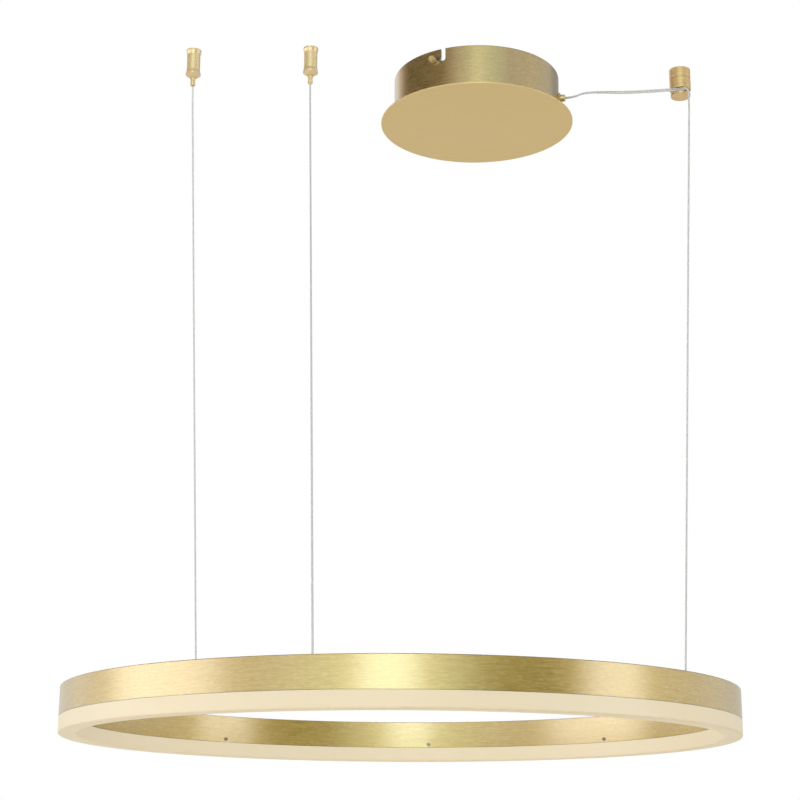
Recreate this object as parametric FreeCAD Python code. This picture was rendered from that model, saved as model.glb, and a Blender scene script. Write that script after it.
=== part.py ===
import FreeCAD, Part
import math
import os

# A ring pendant light: a brushed gold hoop with an opal diffuser under it hangs on two steel wires and
# on its supply cable. The wires run through two ball grippers on the ceiling. The cable runs over a
# holder on the ceiling to a round canopy, which hides the LED driver.
# All sizes are in millimetres. The origin is on the ceiling face at the middle of the canopy, +Z is up.

# General fits
running_gap = 0.05
slip_gap = 0.1
clear_gap = 0.3
seam_gap = 0.2

# How far a cutting tool reaches past what it cuts
overshoot = 1.0

# Ring
ring_radius = 300.0
ring_width = 16.0
ring_drop = 666.0
ring_middle_x = -74.5
ring_middle_y = -55.0
hoop_height = 26.0
hoop_wall = 1.6
hoop_edge = 0.6
chamber_height = 10.8
diffuser_height = 14.0
diffuser_wall = 3.0
diffuser_edge = 1.4
tongue_height = 6.0

# Light strip inside the ring
strip_gap = 0.5
strip_thickness = 1.0
led_count = 144
led_across = 2.8
led_along = 3.5
led_height = 0.8

# Screws that hold the diffuser, on the inner wall of the hoop. Three show, the others go on round.
diffuser_screw_angles = (44.1, 84.0, 128.5, 174.4, 220.4, 266.3, 312.3, 358.2)
diffuser_screw_above_seam = 3.0
diffuser_screw_radius = 1.25
diffuser_screw_head_radius = 1.7
diffuser_screw_head = 0.9
diffuser_socket_across = 1.5
diffuser_socket_depth = 0.5

# Where the three lines meet the ring, seen from above
cable_angle = 21.1
left_angle = 135.0
middle_angle = 257.1

# Steel wires and their ends in the ring
wire_radius = 0.9
wire_bore_gap = 0.25
wire_bend = 20.0
wire_bend_above_ring = 6.0
wire_bend_below_nipple = 5.4
wire_start = 17.0
eyelet_flange_radius = 2.6
eyelet_flange = 0.6
eyelet_wall = 0.7
eyelet_lip = 0.8
ferrule_radius = 2.6
ferrule_web_gap = 3.4
ferrule_bore_depth = 5.0

# Places of the ceiling fittings
left_gripper_x = -280.7
left_gripper_y = -67.3
middle_gripper_x = -165.4
middle_gripper_y = -73.3
holder_x = 203.0
holder_y = -28.3

# Wire grippers: lengths are counted down from the ceiling
gripper_radius = 6.5
gripper_rim_radius = 7.35
gripper_rim = 1.4
gripper_flare = 3.4
gripper_length = 26.4
gripper_cone = 2.8
gripper_tip_radius = 3.5
gripper_bore_radius = 4.7
gripper_base_length = 8.0
gripper_head_depth = 3.0
fixing_hole_radius = 2.1
fixing_head_radius = 3.5
plunger_radius = 2.5
plunger_flange_radius = 4.5
plunger_flange = 1.0
plunger_flange_start = 14.5
plunger_length = 37.6
plunger_neck_radius = 2.1
plunger_neck_start = 32.4
plunger_neck_length = 2.4
plunger_edge = 0.5
plunger_bore_gap = 0.15
ball_radius = 1.1
ball_depth = 23.0
ball_count = 3
ball_gap = 0.02
ball_window_gap = 0.12
seat_half_angle = 12.0
spring_wire_radius = 0.25
spring_turns = 4

# Cable holder: lengths are counted down from the ceiling
holder_radius = 10.45
holder_base_length = 10.2
holder_boss_radius = 6.5
holder_boss_length = 4.0
holder_head_depth = 7.0
holder_barrel_end = 22.0
holder_cap_radius = 9.8
holder_cap_length = 2.8
holder_cap_edge = 0.8
holder_neck_radius = 5.0
holder_stud_radius = 3.0
holder_stud_length = 5.0

# Canopy
canopy_radius = 83.5
canopy_height = 46.0
canopy_wall = 1.2
canopy_ceiling_gap = 0.6
canopy_disc_overhang = 13.3
canopy_disc_thickness = 1.5
canopy_disc_edge = 0.4
disc_stud_radius = 1.5
disc_stud_inset = 11.5
disc_stud_angles = (90.0, 210.0, 330.0)
disc_stud_length = 4.5
disc_nut_across = 5.5
disc_nut_height = 2.4

# Bayonet: two screws on the bracket stand in two slots of the canopy wall
lock_screw_angles = (-122.3, 57.7)
lock_twist = 7.0
lock_height = 11.0
lock_screw_radius = 2.0
lock_screw_inside = 6.0
lock_head_radius = 3.0
lock_head_length = 4.5
lock_collar_radius = 2.6
lock_collar_length = 0.8

# Straight slots for a screwdriver
driver_slot_width = 0.8
driver_slot_depth = 0.8

# Ceiling bracket
bracket_thickness = 2.0
bracket_length = 124.0
bracket_width = 26.0
bracket_arm_width = 8.0
bracket_lug_width = 18.0
bracket_lug_past_screw = 5.0
bracket_lug_gap = 3.3
bracket_lug_drop = 22.0
bracket_slot_spacing = 90.0
bracket_slot_length = 14.0
bracket_slot_radius = 2.4
bracket_entry_radius = 9.0
earth_screw_x = 24.0
earth_screw_radius = 2.0
earth_head_radius = 4.0
earth_head = 2.6
earth_washer_radius = 5.0
earth_washer = 1.0

# LED driver in the canopy
driver_length = 100.0
driver_width = 42.0
driver_height = 22.0
driver_middle_x = -6.0
driver_middle_y = 21.0
driver_wall = 1.8
driver_tab_length = 8.0
driver_tab_width = 22.0
driver_tab = 2.0
driver_screw_radius = 1.5
driver_screw_head_radius = 2.8
driver_screw_head = 2.0
driver_outlet_height = 12.0
driver_outlet_run = 12.0
driver_outlet_inset = 18.0
board_thickness = 1.6
board_height = 4.0
board_post = 6.0
transformer_length = 22.0
transformer_width = 18.0
transformer_height = 11.0
capacitor_radius = 5.0
capacitor_height = 11.0
capacitor_gap = 9.0

# Terminal block for the house supply
terminal_length = 30.0
terminal_width = 16.0
terminal_height = 14.0
terminal_middle_x = -28.0
terminal_middle_y = -32.0
terminal_poles = 3
terminal_hole_radius = 2.0
terminal_hole_depth = 9.0
mains_lead_radius = 1.3
mains_lead_height = 6.0
mains_lead_spacing = 5.0
mains_lead_reach = 6.0
mains_lead_inset = 10.5
mains_lead_bend = 4.0

# Cable gland on the canopy wall
gland_angle = -12.0
gland_drop = 26.0
gland_thread_radius = 3.5
gland_flange_across = 9.6
gland_flange = 2.2
gland_stub_radius = 2.6
gland_stub = 3.0
gland_cap_radius = 3.6
gland_cap_length = 4.4
gland_cap_edge = 0.8
gland_nut_across = 9.0
gland_nut_height = 2.4
gland_thread_past_nut = 1.0
gland_approach = 8.5

# Supply cable
cable_radius = 1.8
cable_bore_gap = 0.2
cable_bend_above_ring = 9.0
cable_end_depth = 6.0

# The cable's route by hand: a short rise out of the gland, a shallow dip, round the front of the
# holder's neck and over its edge, where it turns down. The second list starts where the first ends.
lead_route = (
    (97.0, -20.6, -26.0),
    (107.0, -22.4, -21.9),
    (124.0, -24.9, -22.4),
    (146.0, -28.1, -24.2),
    (170.0, -31.6, -24.5),
    (187.0, -34.0, -24.1),
    (200.0, -35.4, -24.1),
    (209.0, -40.9, -24.1),
    (209.0, -40.9, -32.0),
)
drop_route = (
    (209.0, -40.9, -32.0),
    (209.0, -40.9, -44.0),
)

# Strain relief and terminal where the cable enters the ring
grommet_flange_radius = 4.0
grommet_flange = 1.0
grommet_wall = 1.1
grommet_lip = 1.0
clamp_along = 12.0
clamp_across = 9.0
clamp_web_gap = 3.2
feed_along = 14.0
feed_across = 8.0
feed_height = 7.0
feed_gap = 6.0
core_radius = 0.7
core_spacing = 3.4
core_height = 5.0
strip_lead_reach = 4.0
strip_lead_bend = 1.6
web_hole_gap = 0.4

full_turn = 360.0


def vec(x, y, z):
    return FreeCAD.Vector(x, y, z)


def cylinder(radius, low, high, x=0.0, y=0.0):
    return Part.makeCylinder(radius, high - low, vec(x, y, low))


def bore(radius, low, high, x=0.0, y=0.0):
    # A cutting cylinder that reaches past both of its faces.
    return cylinder(radius, low - overshoot, high + overshoot, x, y)


def annulus(outer, inner, low, high):
    return cylinder(outer, low, high).cut(bore(inner, low, high))


def radial_cylinder(radius, start, end, height, angle):
    # A cylinder that points away from the Z axis, between two distances from it.
    rod = Part.makeCylinder(radius, end - start, vec(start, 0, height), vec(1, 0, 0))
    return turned(rod, angle)


def radial_bore(radius, start, end, height, angle):
    return radial_cylinder(radius, start - overshoot, end + overshoot, height, angle)


def block(x, y, z, middle_x=0.0, middle_y=0.0, low=0.0):
    return Part.makeBox(x, y, z, vec(middle_x - x / 2, middle_y - y / 2, low))


def hexagon(across, height):
    # A six-sided prism on the XY plane, two of its corners on the Y axis.
    corner = across / math.sqrt(3)
    points = []
    for k in range(7):
        a = math.radians(30 + 60 * k)
        points.append(vec(corner * math.cos(a), corner * math.sin(a), 0))
    return Part.Face(Part.makePolygon(points)).extrude(vec(0, 0, height))


def turned(shape, angle):
    return shape.rotated(vec(0, 0, 0), vec(0, 0, 1), angle)


def laid_along_x(shape):
    # What was built along +Z points along +X.
    return shape.rotated(vec(0, 0, 0), vec(0, 1, 0), 90)


def moved(shape, x, y, z):
    return shape.translated(vec(x, y, z))


def revolved(outline):
    # A closed outline of (radius, height) points, spun about the Z axis.
    points = [vec(r, 0, z) for r, z in outline]
    points.append(points[0])
    face = Part.Face(Part.makePolygon(points))
    return face.revolve(vec(0, 0, 0), vec(0, 0, 1), full_turn)


def edges_at_height(shape, height):
    return [e for e in shape.Edges if all(abs(v.Z - height) < 1e-6 for v in e.Vertexes)]


def round_at_height(shape, height, edge_radius):
    return shape.makeFillet(edge_radius, edges_at_height(shape, height))


def round_outer_edge(shape, height, radius, edge_radius):
    # Rounds only the circle of the given radius at the given height.
    chosen = []
    for e in edges_at_height(shape, height):
        reach = max(math.hypot(p.x, p.y) for p in e.discretize(5))
        if abs(reach - radius) < 1e-3:
            chosen.append(e)
    return shape.makeFillet(edge_radius, chosen)


def tube(route, radius, limits=None, name=""):
    # A round tube along straight runs. A tangent arc joins them at each inner point of the route: its
    # radius is what the shorter run allows, or the limit that is given for that point.
    points = [vec(*p) for p in route]
    edges = []
    radii = []
    start = points[0]
    for k in range(1, len(points) - 1):
        first = (points[k - 1] - points[k]).normalize()
        second = (points[k + 1] - points[k]).normalize()
        half_turn = (math.pi - first.getAngle(second)) / 2
        shorter = min((points[k - 1] - points[k]).Length, (points[k + 1] - points[k]).Length)
        bend = 0.45 * shorter / math.tan(half_turn)
        if limits and k in limits:
            bend = min(bend, limits[k])
        cut = bend * math.tan(half_turn)
        enter = points[k] + first * cut
        leave = points[k] + second * cut
        inward = (first + second).normalize()
        middle = points[k] + inward * (bend / math.cos(half_turn) - bend)
        edges.append(Part.LineSegment(start, enter).toShape())
        edges.append(Part.Arc(enter, middle, leave).toShape())
        radii.append(round(bend, 1))
        start = leave
    edges.append(Part.LineSegment(start, points[-1]).toShape())
    path = Part.Wire(edges)
    section = Part.Wire(Part.Circle(points[0], points[1] - points[0], radius).toShape())
    shape = path.makePipeShell([section], True, False)
    if name:
        share = shape.Volume / (math.pi * radius ** 2 * path.Length)
        print(f"{name}: length {path.Length:.1f}, bend radii {radii}, volume share {share:.4f}")
    return shape


def group(shapes):
    return Part.makeCompound(shapes)


def driver_slot(length, middle_x, middle_y, low):
    # What a screwdriver's slot takes out of a head, along X.
    return block(length, driver_slot_width, driver_slot_depth, middle_x, middle_y, low)


# The ring is built about its own middle and from its lowest face up, then moved to its place.


def on_ring(shape):
    return moved(shape, ring_middle_x, ring_middle_y, -ring_drop)


def hoop_inner():
    return ring_radius - ring_width


def ring_top():
    return diffuser_height + hoop_height


def chamber_top():
    return ring_top() - hoop_wall


def web_high():
    return chamber_top() - chamber_height


def web_low():
    return web_high() - hoop_wall


def line_circle():
    return ring_radius - ring_width / 2


def line_point(angle, height):
    # A point on the circle where the lines meet the ring, in the part's frame.
    a = math.radians(angle)
    x = ring_middle_x + line_circle() * math.cos(a)
    y = ring_middle_y + line_circle() * math.sin(a)
    return x, y, height - ring_drop


def at_line(shape, angle):
    # What was built about the Z axis, at heights above the ring's lowest face, goes to one of the lines.
    return on_ring(turned(moved(shape, line_circle(), 0, 0), angle))


def diffuser_screw_height():
    return diffuser_height + diffuser_screw_above_seam


def eyelet_bore():
    return wire_radius + wire_bore_gap


def grommet_bore():
    return cable_radius + cable_bore_gap


def line_holes():
    # The angle of each hole in the hoop's top wall, and the radius of the bush that stands in it.
    wire_bush = eyelet_bore() + eyelet_wall
    return (
        (left_angle, wire_bush),
        (middle_angle, wire_bush),
        (cable_angle, grommet_bore() + grommet_wall),
    )


def ring_hoop():
    body = annulus(ring_radius, hoop_inner(), diffuser_height, ring_top())
    body = round_at_height(body, ring_top(), hoop_edge)
    outer = ring_radius - hoop_wall
    inner = hoop_inner() + hoop_wall
    chamber = annulus(outer, inner, web_high(), chamber_top())
    channel = annulus(outer, inner, diffuser_height - overshoot, web_low())
    body = body.cut(chamber).cut(channel)
    for angle, radius in line_holes():
        hole = bore(radius + slip_gap, chamber_top(), ring_top(), line_circle())
        body = body.cut(turned(hole, angle))
    for angle in diffuser_screw_angles:
        hole = radial_bore(
            diffuser_screw_radius + slip_gap, hoop_inner(), inner, diffuser_screw_height(), angle
        )
        body = body.cut(hole)
    for side in (-1, 1):
        x, y = strip_lead_place(side)
        hole = bore(core_radius + web_hole_gap, web_low(), web_high(), line_circle() + x, y)
        body = body.cut(turned(hole, cable_angle))
    return on_ring(body)


def diffuser():
    outer = ring_radius
    inner = hoop_inner()
    shoulder = diffuser_height - seam_gap
    top = diffuser_height + tongue_height
    step = hoop_wall + clear_gap
    outline = [
        (inner, 0),
        (outer, 0),
        (outer, shoulder),
        (outer - step, shoulder),
        (outer - step, top),
        (outer - diffuser_wall, top),
        (outer - diffuser_wall, diffuser_wall),
        (inner + diffuser_wall, diffuser_wall),
        (inner + diffuser_wall, top),
        (inner + step, top),
        (inner + step, shoulder),
        (inner, shoulder),
    ]
    body = round_at_height(revolved(outline), 0.0, diffuser_edge)
    radius = diffuser_screw_radius + running_gap
    height = diffuser_screw_height()
    for angle in diffuser_screw_angles:
        body = body.cut(radial_bore(radius, inner + step, inner + diffuser_wall, height, angle))
    return on_ring(body)


def led_strip():
    reach = ring_width / 2 - diffuser_wall - strip_gap
    return on_ring(
        annulus(line_circle() + reach, line_circle() - reach, web_low() - strip_thickness, web_low())
    )


def led_packages():
    low = web_low() - strip_thickness - led_height
    package = block(led_across, led_along, led_height, line_circle(), 0, low)
    step = full_turn / led_count
    return on_ring(group([turned(package, step * k) for k in range(led_count)]))


def diffuser_screws():
    # The flat back of each head touches the round wall at the head's edge.
    seat = math.sqrt(hoop_inner() ** 2 - diffuser_screw_head_radius ** 2)
    height = diffuser_screw_height()
    screws = []
    for angle in diffuser_screw_angles:
        head = radial_cylinder(diffuser_screw_head_radius, seat - diffuser_screw_head, seat, height, 0)
        shank = radial_cylinder(diffuser_screw_radius, seat, hoop_inner() + diffuser_wall, height, 0)
        socket = laid_along_x(hexagon(diffuser_socket_across, diffuser_socket_depth))
        socket = moved(socket, seat - diffuser_screw_head, 0, height)
        screws.append(turned(head.fuse(shank).cut(socket), angle))
    return on_ring(group(screws))


def flanged_bush(inner, wall, flange_radius, flange, lip):
    # Stands in a hole of the hoop's top wall, its flange on top.
    low = chamber_top() - lip
    outline = [
        (inner, low),
        (inner + wall, low),
        (inner + wall, ring_top()),
        (flange_radius, ring_top()),
        (flange_radius, ring_top() + flange),
        (inner, ring_top() + flange),
    ]
    return revolved(outline)


def wire_eyelet(angle):
    bush = flanged_bush(eyelet_bore(), eyelet_wall, eyelet_flange_radius, eyelet_flange, eyelet_lip)
    return at_line(bush, angle)


def ferrule_top():
    return chamber_top() - eyelet_lip


def wire_ferrule(angle):
    # Crimped on the wire's end below the eyelet, so that the ring can't slip off it.
    top = ferrule_top()
    body = cylinder(ferrule_radius, web_high() + ferrule_web_gap, top)
    blind = cylinder(wire_radius + slip_gap, top - ferrule_bore_depth, top + overshoot)
    return at_line(body.cut(blind), angle)


def cable_grommet():
    bush = flanged_bush(grommet_bore(), grommet_wall, grommet_flange_radius, grommet_flange, grommet_lip)
    return at_line(bush, cable_angle)


def clamp_top():
    return chamber_top() - grommet_lip


def cable_clamp():
    # The strain relief is under the grommet; the cable runs down into its bore.
    low = web_high() + clamp_web_gap
    body = block(clamp_across, clamp_along, clamp_top() - low, 0, 0, low)
    blind = cylinder(cable_radius + slip_gap, clamp_top() - cable_end_depth, clamp_top() + overshoot)
    return at_line(body.cut(blind), cable_angle)


def feed_start():
    return clamp_along / 2 + feed_gap


def feed_end():
    return feed_start() + feed_along


def feed_terminal():
    body = block(feed_across, feed_along, feed_height, 0, (feed_start() + feed_end()) / 2, web_high())
    return at_line(body, cable_angle)


def core_place(side):
    return side * core_spacing / 2


def cable_cores():
    height = web_high() + core_height
    cores = []
    for side in (-1, 1):
        start = vec(core_place(side), clamp_along / 2, height)
        core = Part.makeCylinder(core_radius, feed_gap, start, vec(0, 1, 0))
        cores.append(at_line(core, cable_angle))
    return group(cores)


def strip_lead_place(side):
    # Where a strip lead goes down through the web, counted from the cable's line.
    return core_place(side), feed_end() + strip_lead_reach


def strip_leads():
    height = web_high() + core_height
    leads = []
    for side in (-1, 1):
        x, y = strip_lead_place(side)
        route = [(x, feed_end(), height), (x, y, height), (x, y, web_low())]
        leads.append(at_line(tube(route, core_radius, {1: strip_lead_bend}), cable_angle))
    return group(leads)


# The gripper is built about its own axis, from the ceiling face down.


def ball_circle():
    return wire_radius + ball_gap + ball_radius


def seat_slope():
    return math.tan(math.radians(seat_half_angle))


def seat_depth(radius):
    # The depth where the tapered seat has the given radius. It widens upwards, and each ball stands a
    # running gap off it.
    at_ball = ball_circle() + (ball_radius + running_gap) / math.cos(math.radians(seat_half_angle))
    return ball_depth + (at_ball - radius) / seat_slope()


def gripper_base():
    body = cylinder(gripper_bore_radius - slip_gap, -gripper_base_length, 0)
    hole = bore(fixing_hole_radius, -gripper_base_length, 0)
    head = cylinder(
        fixing_head_radius, -gripper_base_length - overshoot, -gripper_base_length + gripper_head_depth
    )
    return body.cut(hole).cut(head)


def gripper_sleeve():
    top_rim_end = clear_gap + gripper_rim
    low_rim_start = gripper_length - gripper_rim
    tip = gripper_length + gripper_cone
    guide = plunger_radius + slip_gap
    outline = [
        (gripper_bore_radius, -clear_gap),
        (gripper_rim_radius, -clear_gap),
        (gripper_rim_radius, -top_rim_end),
        (gripper_radius, -top_rim_end - gripper_flare),
        (gripper_radius, -low_rim_start + gripper_flare),
        (gripper_rim_radius, -low_rim_start),
        (gripper_rim_radius, -gripper_length),
        (gripper_tip_radius, -tip),
        (guide, -tip),
        (guide, -seat_depth(guide)),
        (gripper_bore_radius, -seat_depth(gripper_bore_radius)),
    ]
    return revolved(outline)


def gripper_plunger():
    inner = wire_radius + plunger_bore_gap
    flange_end = plunger_flange_start + plunger_flange
    neck_end = plunger_neck_start + plunger_neck_length
    outline = [
        (inner, -plunger_flange_start),
        (plunger_flange_radius, -plunger_flange_start),
        (plunger_flange_radius, -flange_end),
        (plunger_radius, -flange_end),
        (plunger_radius, -plunger_neck_start),
        (plunger_neck_radius, -plunger_neck_start - plunger_edge),
        (plunger_neck_radius, -neck_end + plunger_edge),
        (plunger_radius, -neck_end),
        (plunger_radius, -plunger_length),
        (inner, -plunger_length),
    ]
    body = round_outer_edge(revolved(outline), -plunger_length, plunger_radius, plunger_edge)
    window = radial_cylinder(ball_radius + ball_window_gap, 0.0, plunger_radius + overshoot, -ball_depth, 0)
    for k in range(ball_count):
        body = body.cut(turned(window, full_turn / ball_count * k))
    return body


def gripper_balls():
    ball = Part.makeSphere(ball_radius, vec(ball_circle(), 0, -ball_depth))
    return group([turned(ball, full_turn / ball_count * k) for k in range(ball_count)])


def gripper_spring():
    # An open coil between the fixed base and the plunger's flange.
    top = -gripper_base_length - spring_wire_radius
    bottom = -plunger_flange_start + spring_wire_radius
    height = top - bottom
    radius = (fixing_head_radius + gripper_bore_radius - slip_gap) / 2
    helix = Part.makeHelix(height / spring_turns, height, radius)
    section = Part.Circle(vec(radius, 0, 0), vec(0, 1, 0), spring_wire_radius).toShape()
    coil = Part.Wire(helix.Edges).makePipeShell([Part.Wire(section)], True, True)
    return moved(coil, 0, 0, bottom)


def left_gripper(shape):
    return moved(shape, left_gripper_x, left_gripper_y, 0)


def middle_gripper(shape):
    return moved(shape, middle_gripper_x, middle_gripper_y, 0)


def suspension_wire(x, y, angle, name):
    # Straight down out of the gripper, then in one pull to the ring and straight down into it.
    nipple = (x, y, -plunger_length - wire_bend_below_nipple)
    landing = line_point(angle, ring_top() + wire_bend_above_ring)
    end = line_point(angle, ferrule_top() - ferrule_bore_depth + clear_gap)
    route = [(x, y, -wire_start), nipple, landing, end]
    return tube(route, wire_radius, {1: wire_bend, 2: wire_bend}, name)


# The cable holder is built about its own axis, from the ceiling face down.


def holder_boss_end():
    return holder_base_length + holder_boss_length


def holder_base():
    low = -holder_boss_end()
    body = cylinder(holder_radius, -holder_base_length, 0)
    body = body.fuse(cylinder(holder_boss_radius, low, -holder_base_length))
    hole = bore(fixing_hole_radius, low, 0)
    head = cylinder(fixing_head_radius, low - overshoot, low + holder_head_depth)
    return body.removeSplitter().cut(hole).cut(head)


def holder_barrel():
    body = cylinder(holder_radius, -holder_barrel_end, -holder_base_length - seam_gap)
    recess = cylinder(holder_boss_radius + slip_gap, -holder_boss_end() - clear_gap, 0)
    thread = bore(holder_stud_radius + running_gap, -holder_barrel_end, 0)
    return body.cut(recess).cut(thread)


def cap_top():
    # The groove between the barrel and the cap lets the cable through.
    return holder_barrel_end + 2 * (cable_radius + clear_gap)


def holder_cap():
    low = -cap_top() - holder_cap_length
    shoulder = -holder_barrel_end - slip_gap
    disc = round_at_height(cylinder(holder_cap_radius, low, -cap_top()), low, holder_cap_edge)
    neck = cylinder(holder_neck_radius, -cap_top(), shoulder)
    stud = cylinder(holder_stud_radius, shoulder, -holder_barrel_end + holder_stud_length)
    return disc.fuse(neck).fuse(stud).removeSplitter()


def at_holder(shape):
    return moved(shape, holder_x, holder_y, 0)


# The canopy is built in place about the part's own axis.


def canopy_inner():
    return canopy_radius - canopy_wall


def floor_top():
    return -canopy_height + canopy_wall


def lock_slot_half():
    return lock_screw_radius + clear_gap


def bayonet_slot(angle):
    # An L: in from the wall's top edge at one end, and the screw stands in the other.
    entry = angle + lock_twist
    half = lock_slot_half()
    inner = canopy_inner() - overshoot
    outer = canopy_radius + overshoot
    outline = [
        vec(inner, 0, -lock_height - half),
        vec(outer, 0, -lock_height - half),
        vec(outer, 0, -lock_height + half),
        vec(inner, 0, -lock_height + half),
        vec(inner, 0, -lock_height - half),
    ]
    leg = Part.Face(Part.makePolygon(outline)).revolve(vec(0, 0, 0), vec(0, 0, 1), lock_twist)
    slot = turned(leg, angle)
    for end in (angle, entry):
        slot = slot.fuse(radial_cylinder(half, inner, outer, -lock_height, end))
    way_in = block(outer - inner, 2 * half, lock_height, (outer + inner) / 2, 0, -lock_height)
    return slot.fuse(turned(way_in, entry))


def disc_stud_places():
    circle = canopy_radius - disc_stud_inset
    angles = [math.radians(angle) for angle in disc_stud_angles]
    return [(circle * math.cos(a), circle * math.sin(a)) for a in angles]


def driver_screw_places():
    reach = driver_length / 2 + driver_tab_length / 2
    return driver_middle_x - reach, driver_middle_x + reach


def canopy_can():
    wall = annulus(canopy_radius, canopy_inner(), -canopy_height, -canopy_ceiling_gap)
    floor = cylinder(canopy_radius - canopy_wall / 2, -canopy_height, floor_top())
    body = wall.fuse(floor).removeSplitter()
    for angle in lock_screw_angles:
        body = body.cut(bayonet_slot(angle))
    gland_hole = gland_thread_radius + slip_gap
    body = body.cut(radial_bore(gland_hole, canopy_inner(), canopy_radius, -gland_drop, gland_angle))
    for x, y in disc_stud_places():
        body = body.cut(bore(disc_stud_radius + slip_gap, -canopy_height, floor_top(), x, y))
    for x in driver_screw_places():
        hole = bore(driver_screw_radius + running_gap, -canopy_height, floor_top(), x, driver_middle_y)
        body = body.cut(hole)
    return body


def canopy_disc():
    # The flat plate that shows from below, with studs through the can's floor.
    low = -canopy_height - canopy_disc_thickness
    plate = cylinder(canopy_radius + canopy_disc_overhang, low, -canopy_height)
    body = round_at_height(plate, low, canopy_disc_edge)
    for x, y in disc_stud_places():
        body = body.fuse(cylinder(disc_stud_radius, -canopy_height, -canopy_height + disc_stud_length, x, y))
    return body.removeSplitter()


def disc_nuts():
    nuts = []
    for x, y in disc_stud_places():
        nut = moved(hexagon(disc_nut_across, disc_nut_height), x, y, floor_top())
        hole = bore(disc_stud_radius + running_gap, floor_top(), floor_top() + disc_nut_height, x, y)
        nuts.append(nut.cut(hole))
    return group(nuts)


def lug_reach():
    return canopy_inner() - bracket_lug_gap


def lock_screw_start():
    return lug_reach() - bracket_thickness - lock_screw_inside


def bracket_slot(middle):
    run = bracket_slot_length - 2 * bracket_slot_radius
    low = -bracket_thickness - overshoot
    height = bracket_thickness + 2 * overshoot
    slot = block(run, 2 * bracket_slot_radius, height, middle, 0, low)
    for end in (-1, 1):
        slot = slot.fuse(cylinder(bracket_slot_radius, low, low + height, middle + end * run / 2))
    return slot


def bracket_arm(angle):
    # An arm with its end bent down into a lug. It lies beside the screw, clear of the slot's way in.
    reach = lug_reach()
    edge = bracket_lug_past_screw - bracket_lug_width
    arm_y = edge + bracket_arm_width / 2
    arm = block(reach, bracket_arm_width, bracket_thickness, reach / 2, arm_y, -bracket_thickness)
    lug_x = reach - bracket_thickness / 2
    lug_y = edge + bracket_lug_width / 2
    lug = block(bracket_thickness, bracket_lug_width, bracket_lug_drop, lug_x, lug_y, -bracket_lug_drop)
    return turned(arm.fuse(lug), angle)


def ceiling_bracket():
    # Stamped sheet: a plate that is screwed to the ceiling, and two arms that end in bent lugs.
    body = block(bracket_length, bracket_width, bracket_thickness, 0, 0, -bracket_thickness)
    for angle in lock_screw_angles:
        body = body.fuse(bracket_arm(angle))
    body = body.removeSplitter()
    body = body.cut(bore(bracket_entry_radius, -bracket_thickness, 0))
    body = body.cut(bore(earth_screw_radius + running_gap, -bracket_thickness, 0, earth_screw_x))
    for side in (-1, 1):
        body = body.cut(bracket_slot(side * bracket_slot_spacing / 2))
    for angle in lock_screw_angles:
        start = lug_reach() - bracket_thickness
        body = body.cut(radial_bore(lock_screw_radius + running_gap, start, lug_reach(), -lock_height, angle))
    return body


def lock_screw(angle):
    # The shank stands in the lug and in the can's slot; the collar and the head are outside the can.
    collar_start = canopy_radius + clear_gap
    head_start = collar_start + lock_collar_length
    head_end = head_start + lock_head_length
    shank = radial_cylinder(lock_screw_radius, lock_screw_start(), collar_start, -lock_height, 0)
    collar = radial_cylinder(lock_collar_radius, collar_start, head_start, -lock_height, 0)
    head = radial_cylinder(lock_head_radius, head_start, head_end, -lock_height, 0)
    slot = laid_along_x(driver_slot(2 * lock_head_radius, 0, 0, 0))
    slot = moved(slot, head_end - driver_slot_depth, 0, -lock_height)
    return turned(shank.fuse(collar).fuse(head).cut(slot).removeSplitter(), angle)


def earth_screw():
    washer_low = -bracket_thickness - earth_washer
    low = washer_low - earth_head
    shank = cylinder(earth_screw_radius, low, 0, earth_screw_x)
    washer = cylinder(earth_washer_radius, washer_low, -bracket_thickness, earth_screw_x)
    head = cylinder(earth_head_radius, low, washer_low, earth_screw_x)
    slot = driver_slot(2 * earth_head_radius, earth_screw_x, 0, low)
    return shank.fuse(washer).fuse(head).cut(slot).removeSplitter()


def board_post_places():
    dx = driver_length / 2 - driver_wall - board_post / 2
    dy = driver_width / 2 - driver_wall - board_post / 2
    return [(driver_middle_x + sx * dx, driver_middle_y + sy * dy) for sx in (-1, 1) for sy in (-1, 1)]


def driver_block(length, width, height, low):
    return block(length, width, height, driver_middle_x, driver_middle_y, low)


def lid_low():
    return floor_top() + driver_height - driver_wall


def driver_case():
    low = floor_top()
    body = driver_block(driver_length, driver_width, lid_low() - low, low)
    tabs = driver_block(driver_length + 2 * driver_tab_length, driver_tab_width, driver_tab, low)
    inside_length = driver_length - 2 * driver_wall
    inside_width = driver_width - 2 * driver_wall
    inside = driver_block(inside_length, inside_width, driver_height, low + driver_wall)
    body = body.fuse(tabs).cut(inside)
    for x, y in board_post_places():
        body = body.fuse(block(board_post, board_post, board_height, x, y, low + driver_wall))
    for x in driver_screw_places():
        body = body.cut(bore(driver_screw_radius + slip_gap, low, low + driver_tab, x, driver_middle_y))
    return body.removeSplitter()


def driver_lid():
    return driver_block(driver_length, driver_width, driver_wall, lid_low())


def board_low():
    return floor_top() + driver_wall + board_height


def driver_board():
    length = driver_length - 2 * (driver_wall + clear_gap)
    width = driver_width - 2 * (driver_wall + clear_gap)
    return driver_block(length, width, board_thickness, board_low())


def driver_components():
    # A transformer between two capacitors.
    low = board_low() + board_thickness
    parts = [driver_block(transformer_length, transformer_width, transformer_height, low)]
    for side in (-1, 1):
        x = driver_middle_x + side * (transformer_length / 2 + capacitor_gap + capacitor_radius)
        parts.append(cylinder(capacitor_radius, low, low + capacitor_height, x, driver_middle_y))
    return group(parts)


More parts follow.
